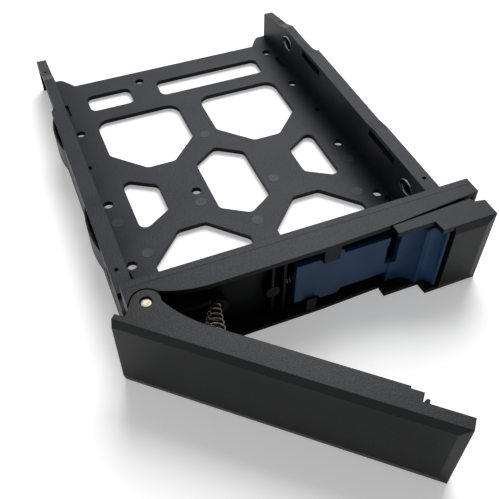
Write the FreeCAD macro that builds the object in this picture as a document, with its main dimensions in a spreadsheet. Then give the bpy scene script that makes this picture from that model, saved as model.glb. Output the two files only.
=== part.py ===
import FreeCAD, Part
import math
import os

import Sketcher

# Hot swap drive caddy: a moulded tray for one 3.5-inch or 2.5-inch drive, a
# hollow bezel housing on its front wall, a fixed end block, a swinging lever
# on a hinge pin, a sliding lock that holds the lever shut and a kick spring.
#
# Frame: X runs across the tray, 0 on the centre line of the 3.5-inch drive.
# Y runs along it, 0 at the front pair of 3.5-inch floor holes, + to the
# connector end. Z is up, 0 on the floor's top face, where the drive sits.
# All sizes are millimetres.

os.makedirs("parts", exist_ok=True)
doc = FreeCAD.newDocument("DriveCaddy")
V = FreeCAD.Vector


class Q:
    """A size that carries both its number and the expression it comes from."""

    def __init__(self, value, text):
        self.value = float(value)
        self.text = text

    @staticmethod
    def of(item):
        return item if isinstance(item, Q) else Q(item, "%.6g" % item)

    def __add__(self, other):
        o = Q.of(other)
        return Q(self.value + o.value, "(%s + %s)" % (self.text, o.text))

    __radd__ = __add__

    def __neg__(self):
        return Q(-self.value, "(-1 * %s)" % self.text)

    def __sub__(self, other):
        return self + (-Q.of(other))

    def __rsub__(self, other):
        return Q.of(other) + (-self)

    def __mul__(self, other):
        o = Q.of(other)
        return Q(self.value * o.value, "(%s * %s)" % (self.text, o.text))

    __rmul__ = __mul__

    def __truediv__(self, other):
        o = Q.of(other)
        return Q(self.value / o.value, "(%s / %s)" % (self.text, o.text))


# --- driving sizes ---------------------------------------------------------
SIZES = [
    # drive seating
    ("hole_half_x", 47.625, "half of 95.25, the bottom hole rows of a 3.5-inch drive"),
    ("hole_y_mid", 31.75, "front to middle bottom hole of a 3.5-inch drive"),
    ("hole_y_back", 76.2, "front to back bottom hole of a 3.5-inch drive"),
    ("small_x_left", -15.0, "left bottom hole row of a 2.5-inch drive"),
    ("small_pitch_x", 61.72, "bottom hole rows of a 2.5-inch drive"),
    ("small_y_front", 26.6, "front bottom hole of a 2.5-inch drive"),
    ("small_pitch_y", 76.6, "front to back bottom hole of a 2.5-inch drive"),
    ("screw_hole_dia", 3.6, "clearance hole for a drive screw"),
    ("screw_sink", 1.1, "depth of the countersink under a drive screw"),
    ("side_hole_dia", 6.4, "access hole in a side wall"),
    ("side_hole_y", -10.9, "front access hole"),
    ("side_hole_pitch", 101.6, "front to back access hole"),
    ("side_hole_z", 10.6, "height of the access holes"),
    # tray
    ("floor_t", 1.8, "floor thickness"),
    ("bay_half", 51.4, "half of the drive bay: drive 101.6 and 0.6 clearance a side"),
    ("wall_w", 5.5, "width of a side wall, front length"),
    ("wall_w_back", 4.0, "width of a side wall, back length"),
    ("wall_step_y", 72.0, "where a side wall turns from its front to its back width"),
    ("skin_t", 1.5, "skin of a side wall"),
    ("cap_t", 1.5, "top of a side wall"),
    ("base_z", -2.5, "underside of the caddy"),
    ("top_z", 28.0, "top of the bezel"),
    ("floor_back", 110.4, "back edge of the floor"),
    ("wall_back", 117.4, "back end of a side wall"),
    ("wall_front", -24.6, "front end of a side wall's full height"),
    ("wall_z_front", 17.9, "side wall height, front length"),
    ("wall_z_mid", 17.1, "side wall height, middle length"),
    ("wall_z_step", 16.4, "side wall height before the back ramp"),
    ("wall_z_ramp", 14.2, "side wall height after the back ramp"),
    ("wall_z_back", 11.3, "side wall height at the back end"),
    ("bulkhead_back", -29.5, "back face of the tray's front wall"),
    ("bulkhead_t", 2.4, "thickness of the tray's front wall"),
    ("over_left", 4.7, "bezel past the drive bay on the left"),
    ("over_right", 7.9, "bezel past the drive bay on the right"),
    ("foot_sink", 1.2, "depth of the sinks at the foot of each side wall"),
    ("leaf_t", 0.7, "thickness of a side leaf"),
    ("leaf_bow", 1.6, "how far a side leaf stands out of the wall"),
    ("leaf_low", 4.2, "lower edge of a side leaf"),
    ("leaf_high", 14.4, "upper edge of a side leaf"),
    # floor openings
    ("ap_edge", 40.0, "outer edge of the floor openings"),
    ("ap_slot_back", 100.3, "back edge of the two back slots"),
    ("ap_slot_front", 89.3, "front edge of the two back slots"),
    ("ap_slot_split_l", -20.8, "inner end of the short back slot"),
    ("ap_slot_split_r", -8.6, "left end of the long back slot"),
    ("ap_slot_right", 39.2, "right end of the long back slot"),
    ("ap_big_back", 81.7, "back edge of the two large openings"),
    ("ap_big_front", 46.2, "front edge of the two large openings"),
    ("ap_big_waist", 58.4, "side corners of the two large openings"),
    ("ap_rib_half", 5.0, "half of the middle rib"),
    ("ap_big_in", 16.9, "inner front corner of a large opening"),
    ("ap_big_out", 28.0, "outer front corner of a large opening"),
    ("ap_hex_half", 10.1, "half width of the six-sided opening"),
    ("ap_hex_back", 48.0, "back corner of the six-sided opening"),
    ("ap_hex_front", 8.2, "front corner of the six-sided opening"),
    ("ap_hex_high", 41.2, "back side corners of the six-sided opening"),
    ("ap_hex_low", 14.8, "front side corners of the six-sided opening"),
    ("ap_side_in", 27.4, "inner edge of a side opening"),
    ("ap_side_back", 43.2, "outer back corner of a side opening"),
    ("ap_side_back_in", 35.4, "inner back corner of a side opening"),
    ("ap_side_front_in", 21.4, "inner front corner of a side opening"),
    ("ap_side_front", 13.4, "outer front corner of a side opening"),
    ("ap_front_top", 10.0, "back edge of the front openings"),
    ("ap_front_wide", -2.7, "side corners of the front openings"),
    ("ap_front_low", -15.0, "front edge of the front openings"),
    ("ap_front_out", 27.8, "outer back corner of a front opening"),
    ("ap_front_in", 17.4, "inner back corner of a front opening"),
    ("ap_round", 2.6, "corner radius of the floor openings"),
    ("ap_round_big", 5.0, "back corner radius of the two large openings"),
    # bezel housing
    ("shell_t", 1.6, "wall of the bezel housing"),
    ("bezel_front", -39.5, "straight front edge of the bezel housing"),
    ("bezel_curve", 37.8, "radius of the swept front edge beside the hinge"),
    ("bezel_right_y", -35.9, "front edge at the right end"),
    ("lug_t", 1.6, "thickness of a hinge lug"),
    ("lug_top", 20.5, "top face of the upper hinge lug"),
    ("lug_end", -32.4, "right end of the hinge lugs"),
    # hinge
    ("pin_x", -50.9, "hinge axis"),
    ("pin_y", -38.4, "hinge axis"),
    ("pin_dia", 2.8, "hinge pin"),
    ("pin_fit", 0.03, "running clearance of the lever on the pin, radial"),
    ("pin_sink", 1.2, "hinge pin below the lever's outer faces"),
    ("ear_r", 4.25, "radius of the lever's ear"),
    ("ear_gap", 0.4, "clearance around the ear"),
    ("ear_rest", 0.3, "clearance between an ear and its lug"),
    ("open_deg", 42.07, "lever angle from shut to open"),
    # lever
    ("lever_t", 1.8, "wall of the lever"),
    ("lever_front", -8.46, "front of the lever from the hinge axis, shut"),
    ("lever_rear", -1.5, "back edge of the lever from the hinge axis, shut"),
    ("lever_len", 89.8, "right end of the lever from the hinge axis"),
    ("lever_lip", -6.2, "left end of the lever from the hinge axis"),
    ("lever_relief", -4.9, "back edge beside the end block"),
    ("lever_relief_u", 76.9, "start of the relief beside the end block"),
    ("face_rise", 0.8, "how far the front panel stands out"),
    ("face_bevel", 3.0, "width of the front panel's bevel"),
    ("hook_u", 78.65, "left side of the lever's hook"),
    ("hook_t", 0.9, "thickness of the hook"),
    ("hook_barb", 0.55, "overhang of the hook"),
    ("hook_reach", 3.1, "how far the hook passes the hinge axis"),
    ("hook_low", 10.0, "lower edge of the hook"),
    ("hook_high", 17.2, "upper edge of the hook"),
    # sliding lock
    ("slide_left", -4.8, "left end of the lock's plate"),
    ("slide_front", -38.2, "front face of the lock's plate"),
    ("slide_t", 1.8, "thickness of the lock's plate"),
    ("slide_low", 4.1, "lower edge of the lock's plate"),
    ("slide_high", 21.4, "upper edge of the lock's plate"),
    ("slide_right", 43.35, "right end of the lock's finger grip"),
    ("slide_gap", 0.3, "clearance around the lock"),
    ("guide_low", 7.3, "lower edge of the guide on the lock's back"),
    ("guide_high", 18.2, "upper edge of the guide on the lock's back"),
    ("guide_left", 8.2, "left end of the guide, where its spring pushes"),
    ("guide_right", 22.6, "right end of the guide"),
    ("grip_low", 0.2, "lower edge of the finger grip"),
    ("grip_high", 25.3, "upper edge of the finger grip"),
    ("slot_left", 27.0, "left edge of the hook slot"),
    ("slot_right", 30.9, "right edge of the hook slot"),
    ("notch_left", 27.5, "left edge of the notch above the slot"),
    ("notch_right", 31.15, "right edge of the notch above the slot"),
    # end block
    ("block_left", 43.9, "left edge of the block's face"),
    ("block_right", 58.9, "right end of the block"),
    ("block_front", -46.5, "front edge of the block"),
    ("block_t", 1.8, "wall of the block"),
    ("block_arm_left", 26.4, "left end of the block's arms"),
    ("block_arm_front", -42.4, "front edge of the block's arms"),
    ("block_step", 39.3, "where the arms meet the block"),
    # kick spring
    ("spring_x", -30.3, "middle of the kick spring's small end"),
    ("spring_z", 12.75, "middle of the kick spring's small end"),
    ("spring_len", 21.75, "free length of the kick spring"),
    ("spring_lean", 20.7, "lean of the kick spring towards the hinge, lever open"),
    ("spring_r", 1.5, "mean radius of the kick spring at its small end"),
    ("spring_r_end", 5.1, "mean radius of the kick spring at the lever"),
    ("spring_wire", 0.5, "wire of the kick spring"),
    ("spring_pitch", 2.18, "pitch of the kick spring"),
    ("cup_dia", 7.8, "outside of the cup that holds the kick spring"),
    ("cup_front", -37.0, "rim of the cup"),
    ("cup_sink", 1.7, "depth of the cup"),
    ("rib_x", -7.0, "rib that the lock's spring pushes from"),
    # lock spring
    ("lock_spring_r", 0.95, "mean radius of the lock's spring"),
    ("lock_spring_wire", 0.4, "wire of the lock's spring"),
    ("lock_spring_pitch", 1.15, "pitch of the lock's spring"),
]

sheet = doc.addObject("Spreadsheet::Sheet", "Dim")
S = {}
for row, (alias, value, note) in enumerate(SIZES, start=1):
    sheet.set("A%d" % row, alias)
    sheet.set("B%d" % row, "%.6g" % value)
    sheet.set("C%d" % row, note)
    sheet.setAlias("B%d" % row, alias)
    S[alias] = Q(value, "Dim.%s" % alias)
S["front_left"] = -(S["bay_half"] + S["over_left"])
S["front_right"] = S["bay_half"] + S["over_right"]
doc.recompute()


# --- helpers ---------------------------------------------------------------
def bind(obj, prop, size):
    """Give a property its number and tie it to the sheet."""
    obj.setExpression(prop, Q.of(size).text)


def new_body(label):
    body = doc.addObject("PartDesign::Body", label + "_body")
    body.Label = label
    return body


def plane(body, role):
    return [o for o in body.Origin.OriginFeatures if o.Role == role][0]


def sketch(body, role, offset):
    """A sketch on one of the body's own planes, moved along the plane's normal."""
    sk = body.newObject("Sketcher::SketchObject", "Outline")
    sk.AttachmentSupport = [(plane(body, role), "")]
    sk.MapMode = "FlatFace"
    q = Q.of(offset)
    sk.AttachmentOffset = FreeCAD.Placement(V(0, 0, q.value), FreeCAD.Rotation())
    bind(sk, "AttachmentOffset.Base.z", q)
    return sk


def tie(sk, geo, pos, x, y):
    """Hold one point of a sketch at two named distances from the origin."""
    for kind, size, axis in (("DistanceX", Q.of(x), -2), ("DistanceY", Q.of(y), -1)):
        if abs(size.value) < 1e-9:
            sk.addConstraint(Sketcher.Constraint("PointOnObject", geo, pos, axis))
        else:
            n = sk.addConstraint(Sketcher.Constraint(kind, -1, 1, geo, pos, size.value))
            sk.setExpression("Constraints[%d]" % n, size.text)


def outline(sk, points, arcs=None):
    """A closed outline through points; arcs maps a segment to (radius, centre)."""
    arcs = arcs or {}
    first = sk.GeometryCount
    count = len(points)
    num = [(Q.of(x).value, Q.of(y).value) for x, y in points]
    ends = []
    for i in range(count):
        a, b = num[i], num[(i + 1) % count]
        if i in arcs:
            radius, side = arcs[i]
            r = Q.of(radius).value
            mid = ((a[0] + b[0]) / 2, (a[1] + b[1]) / 2)
            half = math.hypot(b[0] - a[0], b[1] - a[1]) / 2
            rise = math.sqrt(r * r - half * half)
            nx, ny = -(b[1] - a[1]) / (2 * half), (b[0] - a[0]) / (2 * half)
            cx, cy = mid[0] + side * nx * rise, mid[1] + side * ny * rise
            t0 = math.atan2(a[1] - cy, a[0] - cx)
            t1 = math.atan2(b[1] - cy, b[0] - cx)
            ccw = (t1 - t0) % (2 * math.pi) < math.pi
            circle = Part.Circle(V(cx, cy, 0), V(0, 0, 1), r)
            arc = Part.ArcOfCircle(circle, t0, t1) if ccw else Part.ArcOfCircle(circle, t1, t0)
            sk.addGeometry(arc, False)
            ends.append((1, 2) if ccw else (2, 1))
        else:
            sk.addGeometry(Part.LineSegment(V(a[0], a[1], 0), V(b[0], b[1], 0)), False)
            ends.append((1, 2))
    for i in range(count):
        j = (i + 1) % count
        sk.addConstraint(Sketcher.Constraint(
            "Coincident", first + i, ends[i][1], first + j, ends[j][0]))
    for i in range(count):
        tie(sk, first + i, ends[i][0], points[i][0], points[i][1])
    for i, (radius, _) in arcs.items():
        n = sk.addConstraint(Sketcher.Constraint("Radius", first + i, Q.of(radius).value))
        sk.setExpression("Constraints[%d]" % n, Q.of(radius).text)


def rect(sk, x0, y0, x1, y1):
    outline(sk, [(x0, y0), (x1, y0), (x1, y1), (x0, y1)])


def circle(sk, x, y, dia):
    d = Q.of(dia)
    g = sk.addGeometry(Part.Circle(V(Q.of(x).value, Q.of(y).value, 0), V(0, 0, 1), d.value / 2), False)
    tie(sk, g, 3, x, y)
    n = sk.addConstraint(Sketcher.Constraint("Diameter", g, d.value))
    sk.setExpression("Constraints[%d]" % n, d.text)


def pad(body, sk, length, reverse=False):
    """Add material from the sketch along its plane's normal."""
    f = body.newObject("PartDesign::Pad", "Pad")
    f.Profile = sk
    q = Q.of(length)
    f.Length = q.value
    bind(f, "Length", q)
    f.Reversed = reverse
    sk.Visibility = False
    return f


def pocket(body, sk, length, reverse=False):
    """Take material away against the plane's normal, or along it if reversed."""
    f = body.newObject("PartDesign::Pocket", "Pocket")
    f.Profile = sk
    q = Q.of(length)
    f.Length = q.value
    bind(f, "Length", q)
    f.Reversed = reverse
    sk.Visibility = False
    return f


def block(body, x0, x1, y0, y1, z0, z1):
    """A plain box of material between named faces."""
    sk = sketch(body, "XY_Plane", z0)
    rect(sk, x0, y0, x1, y1)
    return pad(body, sk, Q.of(z1) - z0)


def edges(shape, test):
    """Names of the edges whose two ends and middle pass the test."""
    out = []
    for n, e in enumerate(shape.Edges, start=1):
        if test(e):
            out.append("Edge%d" % n)
    return out


def upright(e, z0, z1):
    """An edge that stands straight up between two heights."""
    if len(e.Vertexes) != 2 or e.Curve.TypeId != "Part::GeomLine":
        return False
    a, b = e.Vertexes[0].Point, e.Vertexes[1].Point
    return (math.hypot(a.x - b.x, a.y - b.y) < 1e-4
            and abs(min(a.z, b.z) - z0) < 1e-3 and abs(max(a.z, b.z) - z1) < 1e-3)


def fillet(body, base, names, radius):
    f = body.newObject("PartDesign::Fillet", "Fillet")
    f.Base = (base, names)
    q = Q.of(radius)
    f.Radius = q.value
    bind(f, "Radius", q)
    return f


def chamfer(body, base, names, size):
    f = body.newObject("PartDesign::Chamfer", "Chamfer")
    f.Base = (base, names)
    q = Q.of(size)
    f.Size = q.value
    bind(f, "Size", q)
    return f


def panel(body, x0, x1, y, rise, ix0, ix1, iz0, iz1):
    """A front panel that stands out of a face and is bevelled to a smaller one."""
    low = sketch(body, "XZ_Plane", -Q.of(y))
    rect(low, x0, S["base_z"], x1, S["top_z"])
    high = sketch(body, "XZ_Plane", -(Q.of(y) - rise))
    rect(high, ix0, iz0, ix1, iz1)
    f = body.newObject("PartDesign::AdditiveLoft", "Panel")
    f.Profile = low
    f.Sections = [high]
    f.Ruled = True
    low.Visibility = False
    high.Visibility = False
    return f


# --- tray ------------------------------------------------------------------
tray = new_body("tray")
bay = S["bay_half"]
out_f, out_b, step_y = bay + S["wall_w"], bay + S["wall_w_back"], S["wall_step_y"]
bulk_front = S["bulkhead_back"] - S["bulkhead_t"]

# floor, with an ear at each back corner
sk = sketch(tray, "XY_Plane", -S["floor_t"])
edge = bay + S["skin_t"]
outline(sk, [
    (-edge, bulk_front), (edge, bulk_front), (edge, S["wall_back"]),
    (47.4, S["wall_back"] - 0.5), (46.0, S["wall_back"] - 1.7), (42.3, S["floor_back"]),
    (-42.3, S["floor_back"]), (-46.0, S["wall_back"] - 1.7), (-47.4, S["wall_back"] - 0.5),
    (-edge, S["wall_back"])])
pad(tray, sk, S["floor_t"])

# front wall that carries the bezel
block(tray, S["front_left"], S["front_right"], bulk_front, S["bulkhead_back"], S["base_z"], S["top_z"])


def wall_top(y_from, y_to, drop):
    """Points of the side wall's top line between two stations, front to back."""
    line = [(S["wall_front"], S["wall_z_front"]), (Q.of(14.0), S["wall_z_front"]),
            (Q.of(20.0), S["wall_z_mid"]), (Q.of(70.0), S["wall_z_mid"]),
            (Q.of(80.0), S["wall_z_step"]), (Q.of(94.5), S["wall_z_step"]),
            (Q.of(101.0), S["wall_z_ramp"]), (S["wall_back"], S["wall_z_back"])]
    return [(y, z - drop) for y, z in line if y_from <= y.value <= y_to]


for side in (1, -1):
    start_f = bay if side > 0 else -out_f
    start_b = bay if side > 0 else -out_b
    # front length of the side wall, full width
    sk = sketch(tray, "YZ_Plane", start_f)
    outline(sk, [(S["bulkhead_back"], S["base_z"]), (step_y, S["base_z"]), (step_y, S["wall_z_mid"] - 0.14)]
            + wall_top(-100, 70, 0)[::-1]
            + [(S["wall_front"], S["wall_z_front"] - 1.8), (S["bulkhead_back"], S["wall_z_front"] - 1.8)])
    pad(tray, sk, out_f - bay)
    # cheek beside the bezel housing
    if side < 0:
        sk = sketch(tray, "YZ_Plane", S["front_left"] - 1.0)
        rect(sk, -37.4, S["base_z"], S["bulkhead_back"], S["wall_z_front"] - 1.8)
        pad(tray, sk, 1.0)
    # back length of the side wall, narrower
    sk = sketch(tray, "YZ_Plane", start_b)
    outline(sk, [(step_y, S["base_z"]), (S["wall_back"], S["base_z"])] + wall_top(71, 200, 0)[::-1]
            + [(step_y, S["wall_z_mid"] - 0.14)])
    pad(tray, sk, out_b - bay)
    # slant between the two widths
    sk = sketch(tray, "XY_Plane", S["base_z"])
    outline(sk, [((out_b - 0.1) * side, step_y - 0.1), (out_f * side, step_y - 0.1), (out_f * side, step_y),
                 (out_b * side, step_y + 3.4), ((out_b - 0.1) * side, step_y + 3.4)])
    pad(tray, sk, S["wall_z_step"] - S["base_z"])
    # the walls are hollow from below
    z_roof = S["wall_z_mid"] - S["cap_t"]
    sk = sketch(tray, "XY_Plane", S["base_z"])
    x0, x1 = bay + S["skin_t"], out_f - S["skin_t"]
    if side < 0:
        x0, x1 = -x1, -x0
    rect(sk, x0, -26.0, x1, step_y - 1.2)
    pocket(tray, sk, z_roof - S["base_z"], reverse=True)
    sk = sketch(tray, "YZ_Plane", x0)
    outline(sk, [(step_y + 0.8, S["base_z"]), (115.8, S["base_z"])]
            + [(115.8, S["wall_z_back"] - S["cap_t"] + 0.2), (100.8, S["wall_z_ramp"] - S["cap_t"]),
               (94.2, S["wall_z_step"] - S["cap_t"]), (step_y + 0.8, S["wall_z_step"] - S["cap_t"])])
    pocket(tray, sk, out_b - bay - 2 * S["skin_t"], reverse=True)
    # window under the top of the wall, on the drive's side
    for y0, y1, z0, z1 in ((59.5, 76.0, 12.7, 15.6), (-1.0, 17.5, 13.4, 16.2)):
        sk = sketch(tray, "YZ_Plane", bay - 0.5 if side > 0 else -(bay + S["skin_t"] + 0.1))
        rect(sk, y0, z0, y1, z1)
        pocket(tray, sk, S["skin_t"] + 0.6, reverse=True)
    # side leaves: an opening in the outer skin and a bowed strip across it
    for y0, y1 in ((50.0, 71.0), (-3.5, 19.0)):
        sk = sketch(tray, "YZ_Plane", out_f - S["skin_t"] - 0.1 if side > 0 else -out_f - 0.1)
        rect(sk, y0 + 1.0, S["leaf_low"] - 1.2, y1 - 1.0, S["leaf_high"] + 1.1)
        pocket(tray, sk, S["skin_t"] + 0.2, reverse=True)
        half = (y1 - y0) / 2.0
        bow = S["leaf_bow"]
        r_out = (Q.of(half * half) + bow * bow) / (bow * 2)
        sk = sketch(tray, "XY_Plane", S["leaf_low"])
        xo = out_f * side
        xi = (out_f - S["leaf_t"]) * side
        # outward bowed band, its ends let into the skin
        outline(sk, [(xi, y0), (xo, y0), (xo, y1), (xi, y1)],
                {1: (r_out, 1 if side > 0 else -1), 3: (r_out, -1 if side > 0 else 1)})
        pad(tray, sk, S["leaf_high"] - S["leaf_low"])
    # access holes through the wall
    sk = sketch(tray, "YZ_Plane", (bay - 1.0) if side > 0 else -(out_f + 1.0))
    circle(sk, S["side_hole_y"], S["side_hole_z"], S["side_hole_dia"])
    circle(sk, S["side_hole_y"] + S["side_hole_pitch"], S["side_hole_z"], S["side_hole_dia"])
    pocket(tray, sk, out_f - bay + 2.0, reverse=True)

# floor openings
ae, rib = S["ap_edge"], S["ap_rib_half"]
sk = sketch(tray, "XY_Plane", 0.0)
rect(sk, -ae + 0.3, S["ap_slot_front"], S["ap_slot_split_l"], S["ap_slot_back"])
rect(sk, S["ap_slot_split_r"], S["ap_slot_front"], S["ap_slot_right"], S["ap_slot_back"])
for s in (1, -1):
    outline(sk, [(ae * s, S["ap_big_back"]), (rib * s, S["ap_big_back"]), (rib * s, S["ap_big_waist"]),
                 (S["ap_big_in"] * s, S["ap_big_front"]), (S["ap_big_out"] * s, S["ap_big_front"]),
                 (ae * s, S["ap_big_waist"])])
    outline(sk, [(ae * s, S["ap_side_back"]), (S["ap_side_in"] * s, S["ap_side_back_in"]),
                 (S["ap_side_in"] * s, S["ap_side_front_in"]), (ae * s, S["ap_side_front"])])
    outline(sk, [(ae * s, S["ap_front_wide"]), (S["ap_front_out"] * s, S["ap_front_top"]),
                 (S["ap_front_in"] * s, S["ap_front_top"]), (rib * s, S["ap_front_wide"]),
                 (rib * s, S["ap_front_low"]), (ae * s, S["ap_front_low"])])
hx = S["ap_hex_half"]
outline(sk, [(0.0, S["ap_hex_back"]), (-hx, S["ap_hex_high"]), (-hx, S["ap_hex_low"]),
             (0.0, S["ap_hex_front"]), (hx, S["ap_hex_low"]), (hx, S["ap_hex_high"])])
cut = pocket(tray, sk, S["floor_t"] + 0.5)
doc.recompute()

ft = S["floor_t"].value
big = edges(cut.Shape, lambda e: upright(e, -ft, 0.0) and abs(e.Vertexes[0].Point.y - S["ap_big_back"].value) < 0.01)
soft = fillet(tray, cut, big, S["ap_round_big"])
doc.recompute()
small = edges(soft.Shape, lambda e: upright(e, -ft, 0.0)
              and abs(e.Vertexes[0].Point.x) < ae.value + 0.05
              and S["ap_front_low"].value - 0.1 < e.Vertexes[0].Point.y < S["ap_slot_back"].value + 0.1
              and not abs(e.Vertexes[0].Point.y - S["ap_big_back"].value) < 6)
soft = fillet(tray, soft, small, S["ap_round"])
doc.recompute()

# drive screw holes, countersunk from below
sk = sketch(tray, "XY_Plane", 0.0)
for s in (1, -1):
    for y in (Q.of(0.0), S["hole_y_mid"], S["hole_y_back"]):
        circle(sk, S["hole_half_x"] * s, y, S["screw_hole_dia"])
x_l = S["small_x_left"]
circle(sk, x_l, S["small_y_front"], S["screw_hole_dia"])
circle(sk, x_l, S["small_y_front"] + S["small_pitch_y"], S["screw_hole_dia"])
circle(sk, x_l + S["small_pitch_x"], S["small_y_front"] + S["small_pitch_y"], S["screw_hole_dia"])
cut = pocket(tray, sk, S["floor_t"] + 0.5)
doc.recompute()
rims = edges(cut.Shape, lambda e: e.Curve.TypeId == "Part::GeomCircle"
             and abs(e.Curve.Radius - S["screw_hole_dia"].value / 2) < 0.01
             and abs(e.CenterOfMass.z + ft) < 0.01)
chamfer(tray, cut, rims, S["screw_sink"])

# small sinks at the foot of each wall, and blind holes in each wall's top
sk = sketch(tray, "XY_Plane", 0.0)
for s in (1, -1):
    for x1, y0, y1 in ((bay - 1.1, 89.6, 97.6), (bay - 1.0, 53.3, 55.5), (bay - 0.5, -7.2, -2.6)):
        a, b = (x1 - 2.0, x1) if s > 0 else (-x1, -(x1 - 2.0))
        rect(sk, a, y0, b, y1)
pocket(tray, sk, S["foot_sink"])
sk = sketch(tray, "XY_Plane", S["wall_z_front"])
for s in (1, -1):
    circle(sk, (bay + 3.1) * s, -15.4, 1.4)
pocket(tray, sk, 5.0)
sk = sketch(tray, "XY_Plane", S["wall_z_ramp"])
for s in (1, -1):
    circle(sk, (bay + 2.2) * s, 104.5, 1.2)
pocket(tray, sk, 4.0)
doc.recompute()

# --- bezel housing -----------------------------------------------------------
bezel = new_body("bezel_housing")
px, py = S["pin_x"], S["pin_y"]
sh = S["shell_t"]
sk = sketch(bezel, "XY_Plane", S["base_z"])
outline(sk, [
    (S["front_left"], bulk_front), (S["front_left"], py + 0.5), (px - 3.7, py + 2.8),
    (px - 2.3, py + 3.8), (px + 3.9, py + 2.4), (-31.2, S["bezel_front"]),
    (4.7, S["bezel_front"]), (25.8, S["bezel_front"] + 0.75), (55.5, S["bezel_right_y"] - 0.4),
    (S["front_right"], S["bezel_right_y"]), (S["front_right"], bulk_front)],
    {4: (S["bezel_curve"], 1)})
pad(bezel, sk, S["top_z"] - S["base_z"])
sk = sketch(bezel, "XY_Plane", S["top_z"] - sh)
rect(sk, S["front_left"] + sh, -60.0, S["front_right"] - sh, bulk_front - sh)
pocket(bezel, sk, S["top_z"] - S["base_z"] - 2 * sh)
# room for the lever's ears
sk = sketch(bezel, "XY_Plane", S["top_z"] + 1.0)
circle(sk, px, py, (S["ear_r"] + S["ear_gap"]) * 2)
pocket(bezel, sk, S["top_z"] - S["base_z"] + 2.0)
# hinge lugs
mid_z = (S["top_z"] + S["base_z"]) / 2
lug_z = (S["lug_top"] - S["lug_t"], mid_z * 2 - S["lug_top"])
for z0 in lug_z:
    sk = sketch(bezel, "XY_Plane", z0)
    outline(sk, [(S["front_left"] + sh - 0.1, bulk_front - sh + 0.3), (S["front_left"] + sh - 0.1, py + 1.6),
                 (px - 3.2, py - 1.1), (S["lug_end"] - 0.6, py - 1.1), (S["lug_end"], py - 0.5),
                 (S["lug_end"], bulk_front - sh + 0.3)])
    pad(bezel, sk, S["lug_t"])
sk = sketch(bezel, "XY_Plane", S["top_z"])
circle(sk, px, py, S["pin_dia"])
pocket(bezel, sk, S["top_z"] - S["base_z"])
# cup that holds the small end of the kick spring
back = bulk_front - sh
sk = sketch(bezel, "XZ_Plane", -(back + 0.2))
circle(sk, S["spring_x"], S["spring_z"], S["cup_dia"])
pad(bezel, sk, back + 0.2 - S["cup_front"])
sk = sketch(bezel, "XZ_Plane", -S["cup_front"])
circle(sk, S["spring_x"], S["spring_z"], (S["spring_r"] + S["spring_wire"] / 2 + 0.6) * 2)
pocket(bezel, sk, S["cup_sink"])
# ribs on the back wall, left of the lock, the first with a round pad across it
rib_y = back - 2.7
for x0, x1 in ((S["rib_x"] - 4.9, S["rib_x"] - 4.1), (S["rib_x"] - 1.0, S["rib_x"])):
    block(bezel, x0, x1, rib_y, back + 0.2, S["base_z"] + sh - 0.2, S["top_z"] - sh + 0.2)
sk = sketch(bezel, "XZ_Plane", -(back + 0.2))
circle(sk, S["rib_x"] - 4.4, 10.7, 4.7)
pad(bezel, sk, back + 0.35 - rib_y)
# rails above and below the guide on the lock's back
gap = S["slide_gap"]
for z0, z1 in ((S["guide_high"] + gap, S["guide_high"] + gap + 1.2),
               (S["guide_low"] - gap - 1.2, S["guide_low"] - gap)):
    block(bezel, 2.0, 25.5, S["slide_front"] + S["slide_t"] + gap, back + 0.2, z0, z1)
# keepers that hold the lock's plate in
block(bezel, 3.7, 9.1, S["slide_front"] - 1.2, S["slide_front"] - 0.3, S["slide_high"] - 0.7, S["top_z"] - sh + 0.2)
block(bezel, -0.8, 2.6, S["slide_front"] - 1.2, S["slide_front"] - 0.3, S["base_z"] + sh - 0.2, S["slide_low"] + 0.7)
doc.recompute()

# --- end block ---------------------------------------------------------------
endb = new_body("end_block")
bt = S["block_t"]
bl, br, bf = S["block_left"], S["block_right"], S["block_front"]
for z0 in (S["top_z"] - bt, S["base_z"]):
    sk = sketch(endb, "XY_Plane", z0)
    outline(sk, [
        (S["block_arm_left"], -39.0), (55.0, -37.7), (55.5, -39.4), (br, -40.0), (br, bf),
        (S["block_step"] + 0.4, bf), (S["block_step"] - 0.05, S["block_arm_front"]),
        (S["block_arm_left"], S["block_arm_front"])])
    pad(endb, sk, bt)
# face, side walls and the stem that stands on the housing's back wall
block(endb, bl, br, bf, bf + bt, S["base_z"], S["top_z"])
block(endb, br - bt, br, bf, -40.0, S["base_z"], S["top_z"])
block(endb, bl, bl + bt, bf, -39.6, S["base_z"], S["top_z"])
sk = sketch(endb, "XY_Plane", S["base_z"] + sh)
rect(sk, 47.2, back, 54.4, bf + bt - 0.3)
rect(sk, 48.7, back + (-1.5), 52.9, bf + bt + 0.0)
pad(endb, sk, S["top_z"] - S["base_z"] - 2 * sh)
panel(endb, bl, br, bf, S["face_rise"], bl, br - S["face_bevel"],
      S["base_z"] + S["face_bevel"], S["top_z"] - S["face_bevel"])
doc.recompute()

# --- sliding lock --------------------------------------------------------------
slide = new_body("latch_slide")
sf = S["slide_front"]
sk = sketch(slide, "XZ_Plane", -(sf + S["slide_t"]))
lo, hi = S["slide_low"], S["slide_high"]
outline(sk, [(S["slide_left"], lo), (3.6, lo), (4.4, lo - 1.8), (10.3, lo - 1.8), (11.9, lo + 0.2),
             (30.0, lo + 0.2), (30.0, hi), (11.3, hi), (11.0, hi + 1.7), (9.6, hi + 1.7), (9.4, hi),
             (S["slide_left"], hi)])
pad(slide, sk, S["slide_t"])
# finger grip: two hollows with a ridge between them
sk = sketch(slide, "XY_Plane", S["grip_low"])
gr = S["slide_right"]
outline(sk, [(28.6, sf + 1.6), (28.6, sf - 0.3), (31.2, sf - 0.5), (37.0, -42.9), (37.4, -42.9),
             (42.1, -45.8), (42.8, -46.2), (gr, -45.7), (gr, sf + 1.6)],
        {2: (5.6, -1), 4: (3.3, -1)})
pad(slide, sk, S["grip_high"] - S["grip_low"])
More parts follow.
